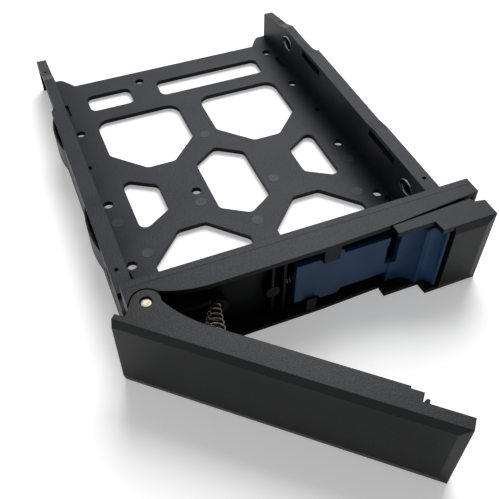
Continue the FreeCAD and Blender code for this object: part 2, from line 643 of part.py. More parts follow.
# guide on the back of the plate, between the housing's rails
block(slide, S["guide_left"], S["guide_right"], sf + S["slide_t"] - 0.2, back - S["slide_gap"],
      S["guide_low"], S["guide_high"])
# slot for the lever's hook
sk = sketch(slide, "XZ_Plane", -(sf + 3.0))
rect(sk, S["slot_left"], S["hook_low"] - 0.8, S["slot_right"], S["hook_high"] + 0.8)
pocket(slide, sk, 12.0, reverse=True)
# notch from the slot up through the top edge
sk = sketch(slide, "XZ_Plane", -(sf + 3.0))
rect(sk, S["notch_left"], S["hook_high"] + 0.6, S["notch_right"], S["grip_high"] + 1.0)
pocket(slide, sk, 12.0, reverse=True)
doc.recompute()

# --- lever ---------------------------------------------------------------------
# Drawn shut, about the hinge axis, then turned open.
lever = new_body("lever")
lf, lr, lt = S["lever_front"], S["lever_rear"], S["lever_t"]
sk = sketch(lever, "XY_Plane", S["base_z"])
outline(sk, [
    (-4.1, -1.2), (-3.3, -5.2), (-3.3, lf + lt), (S["lever_lip"], lf + lt), (S["lever_lip"], lf),
    (S["lever_len"], lf), (S["lever_len"], S["lever_relief"]), (S["lever_relief_u"], S["lever_relief"]),
    (S["lever_relief_u"], lr - 0.7), (73.4, lr - 0.7), (73.4, lr), (19.7, lr), (3.7, 1.95)],
    {11: (S["bezel_curve"] + 0.45, -1)})
pad(lever, sk, S["top_z"] - S["base_z"])
sk = sketch(lever, "XY_Plane", S["base_z"])
circle(sk, 0.0, 0.0, S["ear_r"] * 2)
pad(lever, sk, S["top_z"] - S["base_z"])
sk = sketch(lever, "XY_Plane", S["top_z"] - lt)
rect(sk, -12.0, lf + lt, S["lever_len"] - 1.6, 12.0)
pocket(lever, sk, S["top_z"] - S["base_z"] - 2 * lt)
for z0, z1 in ((S["lug_top"] + S["ear_rest"], S["top_z"] - lt + 0.2),
               (S["base_z"] + lt - 0.2, mid_z * 2 - S["lug_top"] - S["ear_rest"])):
    sk = sketch(lever, "XY_Plane", z0)
    circle(sk, 0.0, 0.0, S["ear_r"] * 2)
    pad(lever, sk, z1 - z0)
sk = sketch(lever, "XY_Plane", S["top_z"])
circle(sk, 0.0, 0.0, (S["pin_dia"] / 2 + S["pin_fit"]) * 2)
pocket(lever, sk, S["top_z"] - S["base_z"])
for z0, rev in ((S["top_z"], False), (S["base_z"], True)):
    sk = sketch(lever, "XY_Plane", z0)
    circle(sk, 0.0, 0.0, 3.5)
    pocket(lever, sk, S["pin_sink"], reverse=rev)
# hook that passes through the lock's slot
sk = sketch(lever, "XY_Plane", S["hook_low"])
hu, ht, hb, hr = S["hook_u"], S["hook_t"], S["hook_barb"], S["hook_reach"]
outline(sk, [(hu, lf + lt - 0.3), (hu + ht, lf + lt - 0.3), (hu + ht, hr), (hu, hr),
             (hu - hb, hr - 1.0), (hu, hr - 1.1)])
pad(lever, sk, S["hook_high"] - S["hook_low"])
panel(lever, S["lever_lip"], S["lever_len"], lf, S["face_rise"], S["lever_lip"],
      S["lever_len"] - S["face_bevel"], S["base_z"] + S["face_bevel"], S["top_z"] - S["face_bevel"])
lever.Placement = FreeCAD.Placement(V(px.value, py.value, 0), FreeCAD.Rotation(V(0, 0, 1), -S["open_deg"].value))
bind(lever, "Placement.Base.x", px)
bind(lever, "Placement.Base.y", py)
bind(lever, "Placement.Rotation.Angle", -S["open_deg"])
doc.recompute()

# --- hinge pin -------------------------------------------------------------------
pin = new_body("hinge_pin")
sk = sketch(pin, "XY_Plane", S["base_z"] + S["pin_sink"])
circle(sk, px, py, S["pin_dia"])
rod = pad(pin, sk, S["top_z"] - S["base_z"] - 2 * S["pin_sink"])
doc.recompute()
chamfer(pin, rod, edges(rod.Shape, lambda e: e.Curve.TypeId == "Part::GeomCircle"), 0.25)

# --- springs -----------------------------------------------------------------------


def coil(label, radii, wire_dia, pitch, length, base, turn):
    """A compression coil: a six-sided wire swept along a helix of short chords, its first end at base."""
    rise = (length - wire_dia).value
    turns = rise / pitch.value
    steps = int(math.ceil(turns * CHORDS))
    points = []
    for i in range(steps + 1):
        share, angle = i / steps, 2 * math.pi * turns * i / steps
        r = radii[0].value + (radii[1].value - radii[0].value) * share
        points.append(V(r * math.cos(angle), r * math.sin(angle), rise * share))
    path = doc.addObject("Part::Feature", label + "_path")
    path.Shape = Part.makePolygon(points)
    section = doc.addObject("Part::RegularPolygon", label + "_section")
    section.Polygon = 6
    bind(section, "Circumradius", wire_dia / 2)
    section.Placement = FreeCAD.Placement(points[0], FreeCAD.Rotation(V(0, 0, 1), points[1] - points[0]))
    sweep = doc.addObject("Part::Sweep", label)
    sweep.Sections = [section]
    sweep.Spine = (path, [])
    sweep.Solid = True
    sweep.Transition = "Right corner"
    sweep.Label = label
    sweep.Placement = FreeCAD.Placement(V(*[Q.of(b).value for b in base]), turn)
    for axis, size in zip("xyz", base):
        bind(sweep, "Placement.Base." + axis, size)
    return sweep


CHORDS = 12
# The kick spring leans to the lever's inner face, so its turns stay clear of the cup's floor.
lean = FreeCAD.Rotation(V(0, 0, 1), -S["spring_lean"].value)
spring = coil("kick_spring", (S["spring_r"], S["spring_r_end"]), S["spring_wire"], S["spring_pitch"],
              S["spring_len"], (S["spring_x"], S["cup_front"] + S["cup_sink"] - 0.1, S["spring_z"]),
              lean.multiply(FreeCAD.Rotation(V(1, 0, 0), 90)))
rib_x = S["rib_x"]
lock_spring = coil("latch_spring", (S["lock_spring_r"], S["lock_spring_r"]), S["lock_spring_wire"],
                   S["lock_spring_pitch"], S["guide_left"] - rib_x,
                   (rib_x + S["lock_spring_wire"] / 2, back - 1.5, mid_z),
                   FreeCAD.Rotation(V(0, 1, 0), 90))
doc.recompute()

# --- checks and export ---------------------------------------------------------------
bad = [o.Name + " " + " ".join(o.State) for o in doc.Objects
       if any(word in ("Invalid", "Error") for word in o.State)]
if bad:
    raise RuntimeError("objects in error: " + "; ".join(bad))
for item in (tray, bezel, endb, slide, lever, pin, spring, lock_spring):
    shape = item.Shape
    if shape.isNull() or not shape.isValid():
        raise RuntimeError(item.Label + " has no valid shape")
    if len(shape.Solids) != 1:
        raise RuntimeError("%s has %d solids" % (item.Label, len(shape.Solids)))
    shape.exportStep("parts/%s.step" % item.Label)
    box = shape.BoundBox
    print("%-14s volume %9.1f  x %7.2f %7.2f  y %7.2f %7.2f  z %6.2f %6.2f" % (
        item.Label, shape.Volume, box.XMin, box.XMax, box.YMin, box.YMax, box.ZMin, box.ZMax))
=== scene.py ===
"""Looks of a hot swap drive caddy: finishes, fine pieces, light and lens round its solids."""

import logging
import math
from contextlib import contextmanager
from dataclasses import dataclass, field
from enum import Enum
from typing import Callable, Iterator, Sequence

import bmesh
import bpy
from mathutils import Matrix, Vector


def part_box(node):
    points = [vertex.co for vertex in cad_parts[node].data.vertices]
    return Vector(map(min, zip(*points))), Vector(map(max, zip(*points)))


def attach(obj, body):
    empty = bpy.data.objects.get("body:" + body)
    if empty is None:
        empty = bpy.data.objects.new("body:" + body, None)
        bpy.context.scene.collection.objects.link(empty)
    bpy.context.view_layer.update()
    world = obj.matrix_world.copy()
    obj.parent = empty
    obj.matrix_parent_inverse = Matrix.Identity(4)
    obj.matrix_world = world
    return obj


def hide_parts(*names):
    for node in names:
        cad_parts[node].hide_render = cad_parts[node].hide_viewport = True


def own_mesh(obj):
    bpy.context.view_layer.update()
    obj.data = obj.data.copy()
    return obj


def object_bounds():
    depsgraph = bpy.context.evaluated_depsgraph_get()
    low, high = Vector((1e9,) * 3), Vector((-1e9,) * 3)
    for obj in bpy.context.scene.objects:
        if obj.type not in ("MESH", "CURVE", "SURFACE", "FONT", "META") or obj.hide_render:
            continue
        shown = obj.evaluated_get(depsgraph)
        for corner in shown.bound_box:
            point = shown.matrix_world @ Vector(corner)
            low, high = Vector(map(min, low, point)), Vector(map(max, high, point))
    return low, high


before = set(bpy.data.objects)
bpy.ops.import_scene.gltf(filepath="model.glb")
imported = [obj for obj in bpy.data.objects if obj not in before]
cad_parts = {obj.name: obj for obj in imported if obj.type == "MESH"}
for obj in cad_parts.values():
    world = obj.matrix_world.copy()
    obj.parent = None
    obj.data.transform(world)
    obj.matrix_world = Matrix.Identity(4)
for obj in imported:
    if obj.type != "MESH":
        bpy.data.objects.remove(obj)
CAD_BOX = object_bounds()
LOG = logging.getLogger("caddy")
Point = tuple[float, float, float]
Colour = tuple[float, float, float, float]

MM = 0.001
PLAIN_WHITE: Colour = (1.0, 1.0, 1.0, 1.0)
# A face whose normal has at least this share along an axis counts as square to it.
FLAT = 0.99
# Nearly all values of a noise lie in this band.
NOISE_BAND = {"From Min": 0.3, "From Max": 0.7}
# Sockets of a mix node that mixes colours.
MIX_FACTOR, MIX_FIRST, MIX_SECOND, MIX_RESULT = 0, 6, 7, 2


# --- colour and nodes ---------------------------------------------------------------


def linear(hex_code: str) -> Colour:
    """Turns an sRGB hex colour into the linear colour that a shader takes.

    Args:
        hex_code: Six hex digits with a leading hash.

    Returns:
        Red, green, blue and an alpha of one.
    """
    out = []
    for at in (1, 3, 5):
        value = int(hex_code[at:at + 2], 16) / 255.0
        out.append(value / 12.92 if value <= 0.04045 else ((value + 0.055) / 1.055) ** 2.4)
    return (out[0], out[1], out[2], 1.0)


def node(tree: bpy.types.NodeTree, kind: str, settings: dict | None = None,
         links: dict | None = None) -> bpy.types.Node:
    """Adds one node, sets it up and links it.

    Args:
        tree: The node tree that gets the node.
        kind: The node's type name.
        settings: Property names, or input names or numbers, with their values.
        links: Input names or numbers with the output socket that feeds each.

    Returns:
        The new node.
    """
    made = tree.nodes.new(kind)
    for key, value in (settings or {}).items():
        if isinstance(key, str) and hasattr(made, key):
            setattr(made, key, value)
        else:
            made.inputs[key].default_value = value
    for key, socket in (links or {}).items():
        tree.links.new(socket, made.inputs[key])
    return made


def looked_at(tree: bpy.types.NodeTree) -> bpy.types.NodeSocket:
    """Tells the rays that look at the white surround from those that only light the caddy.

    Args:
        tree: The node tree of the paper or the room.

    Returns:
        A socket that is one for lens, gloss and clear rays, and nought for all others.
    """
    path = node(tree, "ShaderNodeLightPath")
    seen = node(tree, "ShaderNodeMath", {"operation": "MAXIMUM"},
                {0: path.outputs["Is Camera Ray"], 1: path.outputs["Is Glossy Ray"]})
    return node(tree, "ShaderNodeMath", {"operation": "MAXIMUM"},
                {0: seen.outputs[0], 1: path.outputs["Is Transmission Ray"]}).outputs[0]


class Finish:
    """What every finish shares: a name, and a tree that is built once."""

    name: str

    def fill(self, tree: bpy.types.NodeTree, out: bpy.types.Node) -> None:
        """Adds the finish's nodes to an empty tree."""
        raise NotImplementedError

    def material(self) -> bpy.types.Material:
        """Gives the finish's material, which is made on first use.

        Returns:
            The material, with the finish's name.
        """
        known = bpy.data.materials.get(self.name)
        if known is not None:
            return known
        made = bpy.data.materials.new(self.name)
        made.use_nodes = True
        made.node_tree.nodes.clear()
        self.fill(made.node_tree, node(made.node_tree, "ShaderNodeOutputMaterial"))
        return made


@dataclass(frozen=True)
class MouldedPlastic(Finish):
    """Injection-moulded plastic whose spark-eroded grain scatters the light in fine specks.

    Attributes:
        name: The material's name.
        colour: The resin's own colour.
        worn: Colour of the faint flow marks and handling film.
        sheen: Strength of the surface's reflection, 0.5 for a plain plastic.
        roughness: Middle roughness of the grain.
        grain_mm: Pitch of the grain. A real one is near 0.05 mm, too fine to show, so it is
            drawn about ten times as coarse.
        grain_depth_mm: Depth of the grain, drawn coarser with it.
        edge_mm: Radius that the mould leaves on every edge.
        cloud_mm: Size of the soft clouds in the surface's colour.
        gloss: Colour that the sheen takes on.
        corner_shade_mm: How far from an inner corner the painted shade starts to fade the
            sheen.
        corner_shade_sheen: Share of the sheen that the painted shade leaves deep in a corner.
    """

    name: str
    colour: str
    worn: str
    sheen: float
    roughness: float
    grain_mm: float
    grain_depth_mm: float
    edge_mm: float
    cloud_mm: float = 18.0
    gloss: str = "#ffffff"
    corner_shade_mm: float = 16.0
    corner_shade_sheen: float = 0.25

    def fill(self, tree: bpy.types.NodeTree, out: bpy.types.Node) -> None:
        """Builds resin colour, film clouds, grain, painted corner shade and rounded edges.

        Args:
            tree: The material's empty node tree.
            out: Its output node.
        """
        place = node(tree, "ShaderNodeTexCoord").outputs["Object"]
        clouds = node(tree, "ShaderNodeTexNoise",
                      {"Scale": 1.0 / (self.cloud_mm * MM), "Detail": 3.0, "Roughness": 0.55},
                      {"Vector": place}).outputs["Fac"]
        grain = node(tree, "ShaderNodeTexNoise",
                     {"Scale": 1.0 / (self.grain_mm * MM), "Detail": 2.0, "Roughness": 0.6},
                     {"Vector": place}).outputs["Fac"]
        film = node(tree, "ShaderNodeMapRange", {"From Min": 0.35, "From Max": 0.72},
                    {"Value": clouds}).outputs["Result"]
        tint = node(tree, "ShaderNodeMix",
                    {"data_type": "RGBA", MIX_FIRST: linear(self.colour),
                     MIX_SECOND: linear(self.worn)}, {MIX_FACTOR: film})
        rough = node(tree, "ShaderNodeMapRange",
                     {**NOISE_BAND, "To Min": self.roughness - 0.05,
                      "To Max": self.roughness + 0.07}, {"Value": grain}).outputs["Result"]
        # Painted shade: ambient occlusion fades the sheen in inner corners, parting floor from
        # walls.
        corner_shade_mask = node(tree, "ShaderNodeAmbientOcclusion",
                        {"samples": 8, "Distance": self.corner_shade_mm * MM}).outputs["AO"]
        sheen = node(tree, "ShaderNodeMapRange",
                     {"From Min": 0.35, "From Max": 0.95,
                      "To Min": self.sheen * self.corner_shade_sheen, "To Max": self.sheen},
                     {"Value": corner_shade_mask}).outputs["Result"]
        edge = node(tree, "ShaderNodeBevel", {"samples": 4, "Radius": self.edge_mm * MM})
        bump = node(tree, "ShaderNodeBump",
                    {"Strength": 1.0, "Distance": self.grain_depth_mm * MM},
                    {"Height": grain, "Normal": edge.outputs["Normal"]})
        shader = node(tree, "ShaderNodeBsdfPrincipled",
                      {"IOR": 1.5, "Metallic": 0.0, "Specular Tint": linear(self.gloss)},
                      {"Base Color": tint.outputs[MIX_RESULT], "Roughness": rough,
                       "Specular IOR Level": sheen, "Normal": bump.outputs["Normal"]})
        tree.links.new(shader.outputs["BSDF"], out.inputs["Surface"])


@dataclass(frozen=True)
class BareMetal(Finish):
    """Metal as drawn, turned or pressed, with fine tool lines and a thin dull film.

    Attributes:
        name: The material's name.
        colour: The metal's colour where it is bright.
        dull: Its colour under the film.
        roughness: Middle roughness.
        line_mm: Spacing of the tool or die lines, drawn coarser than real ones so that they
            show.
        line_depth_mm: Depth of those lines.
        film_mm: Size of the patches of film.
    """

    name: str
    colour: str
    dull: str
    roughness: float
    line_mm: float
    line_depth_mm: float
    film_mm: float = 1.6

    def fill(self, tree: bpy.types.NodeTree, out: bpy.types.Node) -> None:
        """Builds the metal, its film and its lines.

        Args:
            tree: The material's empty node tree.
            out: Its output node.
        """
        place = node(tree, "ShaderNodeTexCoord").outputs["Object"]
        film = node(tree, "ShaderNodeTexNoise",
                    {"Scale": 1.0 / (self.film_mm * MM), "Detail": 4.0, "Roughness": 0.6},
                    {"Vector": place}).outputs["Fac"]
        lines = node(tree, "ShaderNodeTexNoise",
                     {"Scale": 1.0 / (self.line_mm * MM), "Detail": 1.0},
                     {"Vector": place}).outputs["Fac"]
        share = node(tree, "ShaderNodeMapRange", {"From Min": 0.4, "From Max": 0.65},
                     {"Value": film}).outputs["Result"]
        tint = node(tree, "ShaderNodeMix",
                    {"data_type": "RGBA", MIX_FIRST: linear(self.colour),
                     MIX_SECOND: linear(self.dull)}, {MIX_FACTOR: share})
        rough = node(tree, "ShaderNodeMapRange",
                     {**NOISE_BAND, "To Min": self.roughness - 0.06,
                      "To Max": self.roughness + 0.1}, {"Value": lines}).outputs["Result"]
        bump = node(tree, "ShaderNodeBump",
                    {"Strength": 0.6, "Distance": self.line_depth_mm * MM}, {"Height": lines})
        shader = node(tree, "ShaderNodeBsdfPrincipled", {"Metallic": 1.0},
                      {"Base Color": tint.outputs[MIX_RESULT], "Roughness": rough,
                       "Normal": bump.outputs["Normal"]})
        tree.links.new(shader.outputs["BSDF"], out.inputs["Surface"])


@dataclass(frozen=True)
class StudioPaper(Finish):
    """A seamless sweep of matt white paper that keeps a soft shadow.

    Attributes:
        name: The material's name.
        colour: The paper's colour.
        lift: How much of its own white the lens sees under the caddy.
        near: Distance from the middle, in metres, up to which that lift holds.
        far: Distance, in metres, where the sheet has run into plain white.
        fibre_mm: Size of the paper's fibres.
    """

    name: str
    colour: str
    lift: float
    near: float = 0.12
    far: float = 0.90
    fibre_mm: float = 0.9

    def fill(self, tree: bpy.types.NodeTree, out: bpy.types.Node) -> None:
        """Builds the paper, lifted only where the lens, a gloss or a clear ray sees it.

        Args:
            tree: The material's empty node tree.
            out: Its output node.
        """
        place = node(tree, "ShaderNodeTexCoord").outputs["Object"]
        fibre = node(tree, "ShaderNodeTexNoise",
                     {"Scale": 1.0 / (self.fibre_mm * MM), "Detail": 3.0},
                     {"Vector": place}).outputs["Fac"]
        rough = node(tree, "ShaderNodeMapRange", {"To Min": 0.85, "To Max": 0.97},
                     {"Value": fibre}).outputs["Result"]
        sheet = node(tree, "ShaderNodeBsdfPrincipled",
                     {"Base Color": linear(self.colour), "Specular IOR Level": 0.1},
                     {"Roughness": rough})
        reach = node(tree, "ShaderNodeVectorMath", {"operation": "LENGTH"}, {0: place})
        sweep = node(tree, "ShaderNodeMapRange",
                     {"interpolation_type": "SMOOTHSTEP", "From Min": self.near,
                      "From Max": self.far, "To Min": self.lift, "To Max": 1.0},
                     {"Value": reach.outputs["Value"]})
        power = node(tree, "ShaderNodeMath", {"operation": "MULTIPLY"},
                     {0: looked_at(tree), 1: sweep.outputs["Result"]})
        glow = node(tree, "ShaderNodeEmission", {"Color": PLAIN_WHITE},
                    {"Strength": power.outputs[0]})
        both = node(tree, "ShaderNodeAddShader", None,
                    {0: sheet.outputs["BSDF"], 1: glow.outputs["Emission"]})
        tree.links.new(both.outputs["Shader"], out.inputs["Surface"])


# A spark-eroded mould leaves matt specks: the tray reads as an even dark grey with a faint
# cool glint on what lies flat, and shows no clear reflection.
TRAY_ABS = MouldedPlastic(
    "abs_black_spark_eroded_tray", "#1b1c1f", "#26272b", sheen=0.130, roughness=0.42,
    grain_mm=0.62, grain_depth_mm=0.085, edge_mm=0.30, gloss="#e6eefa")
# The same grain, finer and darker. Painted shade fades its sheen deep into the hollow,
# so the hollow reads as black and the rims round it stand out.
BEZEL_ABS = MouldedPlastic(
    "abs_black_spark_eroded_bezel", "#141517", "#1b1c1e", sheen=0.118, roughness=0.38,
    grain_mm=0.52, grain_depth_mm=0.065, edge_mm=0.35, gloss="#eef2fa", corner_shade_mm=30.0,
    corner_shade_sheen=0.05)
# A satin mould gives the handle a smooth soft sheen on top and leaves its front near black.
LEVER_ABS = MouldedPlastic(
    "abs_black_satin_lever", "#111213", "#18191a", sheen=0.118, roughness=0.34,
    grain_mm=0.46, grain_depth_mm=0.050, edge_mm=0.40, gloss="#f2f5fa")
# Ejector pins press the grain flat into smooth discs; their paler colour and stronger sheen
# than the tray's are painted reflection, so they read a shade paler than the floor round them.
WITNESS_ABS = MouldedPlastic(
    "abs_black_smooth_witness_mark", "#26272b", "#303136", sheen=0.158, roughness=0.41,
    grain_mm=0.62, grain_depth_mm=0.030, edge_mm=0.10, gloss="#e6eefa")
# Acetal from a polished mould looks slick and evenly blue, with soft lights on its ridges.
LOCK_POM = MouldedPlastic(
    "acetal_blue_moulded_lock", "#1e3f62", "#2a5078", sheen=0.17, roughness=0.33,
    grain_mm=0.60, grain_depth_mm=0.012, edge_mm=0.60)
# Drawn wire is a warm grey, with a thin bright line along the top of each turn.
SPRING_WIRE = BareMetal("spring_steel_drawn_wire", "#8c867a", "#635d52", 0.24, 0.12, 0.004)
# Turned ends scatter the light, so the pin's head reads as a pale warm disc.
PIN_STEEL = BareMetal("carbon_steel_turned_pin", "#8a8375", "#716a5e", 0.42, 0.15, 0.006)
# Bright zinc on a rolled edge mirrors the white room in a narrow crescent.
EYELET_ZINC = BareMetal(
    "zinc_bright_pressed_eyelet", "#7b7e81", "#5c5f62", 0.16, 0.30, 0.002)
# Matt paper has no shine of its own: plain white, with the caddy's soft shadow on it.
PAPER = StudioPaper("studio_paper_matt_white", "#f0f0f0", 0.33)


# --- modelling helpers ----------------------------------------------------------------


def clear_selection() -> None:
    """Leaves nothing selected and no object active in edit mode."""
    if bpy.context.object is not None and bpy.context.object.mode != "OBJECT":
        bpy.ops.object.mode_set(mode="OBJECT")
    bpy.ops.object.select_all(action="DESELECT")


def take(obj: bpy.types.Object) -> None:
    """Makes an object the only one selected, and active.

    Args:
        obj: The object.
    """
    clear_selection()
    obj.select_set(True)
    bpy.context.view_layer.objects.active = obj


@contextmanager
def editing(obj: bpy.types.Object) -> Iterator[None]:
    """Holds an object in edit mode while its mesh is worked on.

    Args:
        obj: The object.

    Yields:
        Nothing. The object is back in object mode afterwards.
    """
    take(obj)
    bpy.ops.object.mode_set(mode="EDIT")
    yield
    bpy.ops.object.mode_set(mode="OBJECT")


def settle(obj: bpy.types.Object, name: str) -> bpy.types.Object:
    """Names an object and puts its place, turn and size into its mesh.

    Args:
        obj: The object.
        name: Its name, also of its mesh.

    Returns:
        The same object, at the origin, unturned and unscaled.
    """
    take(obj)
    obj.name = name
    obj.data.name = name
    bpy.ops.object.transform_apply(location=True, rotation=True, scale=True)
    return obj


def pick(obj: bpy.types.Object, kind: str, test: Callable[[Vector, Vector], bool]) -> None:
    """Selects faces or edges by their middle and normal, with edit mode on.

    Args:
        obj: The active object, in edit mode.
        kind: "FACE" or "EDGE".
        test: Takes an element's middle and normal, and says whether it is wanted.
    """
    bpy.ops.mesh.select_mode(type=kind)
    bpy.ops.mesh.select_all(action="DESELECT")
    work = bmesh.from_edit_mesh(obj.data)
    for part in (work.faces if kind == "FACE" else work.edges):
        if kind == "FACE":
            middle, normal = part.calc_center_median(), part.normal
        else:
            middle = (part.verts[0].co + part.verts[1].co) / 2
            normal = sum((f.normal for f in part.link_faces), Vector())
        if test(middle, normal):
            part.select_set(True)
    bmesh.update_edit_mesh(obj.data)


def push_out(way: Sequence[float]) -> None:
    """Extrudes what is selected along a vector, in metres."""
    bpy.ops.mesh.extrude_region_move(TRANSFORM_OT_translate={"value": way})


def shift(x: float, y: float, z: float = 0.0) -> Matrix:
    """Gives the matrix that moves a piece to a place in millimetres."""
    return Matrix.Translation(Vector((x, y, z)) * MM)


def spread(first: bpy.types.Object, places: Sequence[Matrix], name: str) -> bpy.types.Object:
    """Copies a piece to several places, each with its own mesh, and joins the copies.

    Args:
        first: The piece, which becomes the first of the copies.
        places: Where each goes.
        name: Name of the joined piece.

    Returns:
        The joined piece.
    """
    made = [first]
    for _ in places[1:]:
        copy = first.copy()
        copy.data = first.data.copy()
        bpy.context.collection.objects.link(copy)
        made.append(copy)
    clear_selection()
    for each, place in zip(made, places):
        each.matrix_world = place
        each.select_set(True)
    bpy.context.view_layer.objects.active = first
    bpy.ops.object.join()
    return settle(bpy.context.object, name)


def smooth(obj: bpy.types.Object, degrees: float) -> None:
    """Shades an object smooth, with the edges sharper than an angle kept."""
    take(obj)
    bpy.ops.object.shade_smooth_by_angle(angle=math.radians(degrees))


def outward(obj: bpy.types.Object, merge: float = 0.002 * MM) -> None:
    """Merges doubles and turns every face outwards.

    Args:
        obj: The object.
        merge: Distance up to which points become one, in metres.
    """
    with editing(obj):
        bpy.ops.mesh.select_all(action="SELECT")
        bpy.ops.mesh.remove_doubles(threshold=merge)
        bpy.ops.mesh.normals_make_consistent(inside=False)


def dress(obj: bpy.types.Object, finish: Finish) -> bpy.types.Object:
    """Gives a new piece its finish and its slot, and lets it ride with the tray.

    Args:
        obj: The finished piece.
        finish: What it is made of.

    Returns:
        The same piece.
    """
    obj.data.materials.clear()
    obj.data.materials.append(finish.material())
    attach(obj, "tray")
    return obj


# --- pieces ----------------------------------------------------------------------------


class Piece:
    """A piece of the caddy that is modelled here."""

    def build(self) -> bpy.types.Object:
        """Models the piece and dresses it."""
        raise NotImplementedError


class Push(Enum):
    """Which way a spring pushes, as turns about X, Y and Z that bring Z to it."""

    FORWARD = (math.pi / 2, 0.0, 0.0)
    RIGHT = (0.0, math.pi / 2, 0.0)


@dataclass
class CoilSpring(Piece):
    """A compression spring of round wire, straight or conical, with closed end turns.

    Attributes:
        name: Piece name, also of its mesh.
        cad_node: The plain coil that it stands for.
        foot: Middle of the wire's first turn, in millimetres.
        radii: Mean radius at the foot and at the far end, in millimetres.
        wire: Wire diameter, in millimetres.
        length: Length between the first and last wire's middle, in millimetres.
        turns: Turns in all, of which one at each end is closed.
        push: Which way it pushes.
        lean: Further turn about the upright axis, in degrees.
        joint: The joint that presses it. Not used.
        press: Direction in which it gives. Not used.
        keep: Share of its length that is left at the joint's limit. Not used.
        closed_pitch: Rise of a closed turn, as a share of the wire's diameter.
        steps_per_turn: How many straight runs stand for a turn.
        section_steps: Fineness of the wire's round section.
    """

    name: str
    cad_node: str
    foot: Point
    radii: tuple[float, float]
    wire: float
    length: float
    turns: float
    push: Push
    lean: float
    joint: str
    press: Point
    keep: float
    closed_pitch: float = 0.9
    steps_per_turn: int = 24
    section_steps: int = 3

    def build(self) -> bpy.types.Object:
        """Draws the wire's middle line by extruding a point, then rounds it to a wire.

        Returns:
            The finished spring, riding with the tray.
        """
        take(self._middle_line())
        bpy.ops.object.convert(target="CURVE")
        wire = bpy.context.object
        wire.data.bevel_depth = self.wire * MM / 2
        wire.data.bevel_resolution = self.section_steps
        wire.data.use_fill_caps = True
        bpy.ops.object.convert(target="MESH")
        coil = bpy.context.object
        foot = tuple(v * MM for v in self.foot)
        coil.rotation_euler = self.push.value
        settle(coil, self.name)
        coil.rotation_euler = (0.0, 0.0, math.radians(-self.lean))
        coil.location = foot
        settle(coil, self.name)
        outward(coil)
        smooth(coil, 60.0)
        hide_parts(self.cad_node)
        dress(coil, SPRING_WIRE)
        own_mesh(coil)
        return coil

    def _middle_line(self) -> bpy.types.Object:
        """Extrudes one point round the coil's axis, which is Z here.

        Returns:
            The line as an object of bare edges.
        """
        clear_selection()
        bpy.ops.mesh.primitive_plane_add(size=MM, location=(0.0, 0.0, 0.0))
        line = settle(bpy.context.object, self.name)
        steps = round(self.turns * self.steps_per_turn)
        here = self._point(0.0)
        with editing(line):
            bpy.ops.mesh.select_mode(type="VERT")
            bpy.ops.mesh.select_all(action="SELECT")
            bpy.ops.mesh.merge(type="CENTER")
            bpy.ops.transform.translate(value=here)
            for step in range(1, steps + 1):
                there = self._point(step / steps)
                push_out(there - here)
                here = there
        return line

    def _point(self, share: float) -> Vector:
        """Finds a place on the wire's middle line.

        Args:
            share: How far along the wire, from 0 at the foot to 1.

        Returns:
            The place, with the coil's axis along Z.
        """
        turn = share * self.turns
        closed = self.closed_pitch * self.wire
        if turn < 1.0:
            height = closed * turn
        elif turn > self.turns - 1.0:
            height = self.length - closed * (self.turns - turn)
        else:
            open_pitch = (self.length - 2 * closed) / (self.turns - 2.0)
            height = closed + (turn - 1.0) * open_pitch
        radius = self.radii[0] + (self.radii[1] - self.radii[0]) * height / self.length
        angle = 2 * math.pi * turn
        return Vector((radius * math.cos(angle), radius * math.sin(angle), height)) * MM


KICK_SPRING = CoilSpring(
    name="kick_spring_coil", cad_node="kick_spring", foot=(-30.3, -35.4, 12.75),
    radii=(1.7, 5.1), wire=0.54, length=21.25, turns=12.0, push=Push.FORWARD, lean=20.7,
    joint="lever_hinge", press=(0.0, 1.0, 0.0), keep=0.44)
LATCH_SPRING = CoilSpring(
    name="latch_spring_coil", cad_node="latch_spring", foot=(-6.8, -35.0, 12.75),
    radii=(0.95, 0.95), wire=0.4, length=14.8, turns=13.0, push=Push.RIGHT, lean=0.0,
    joint="lock_slide", press=(1.0, 0.0, 0.0), keep=0.88)


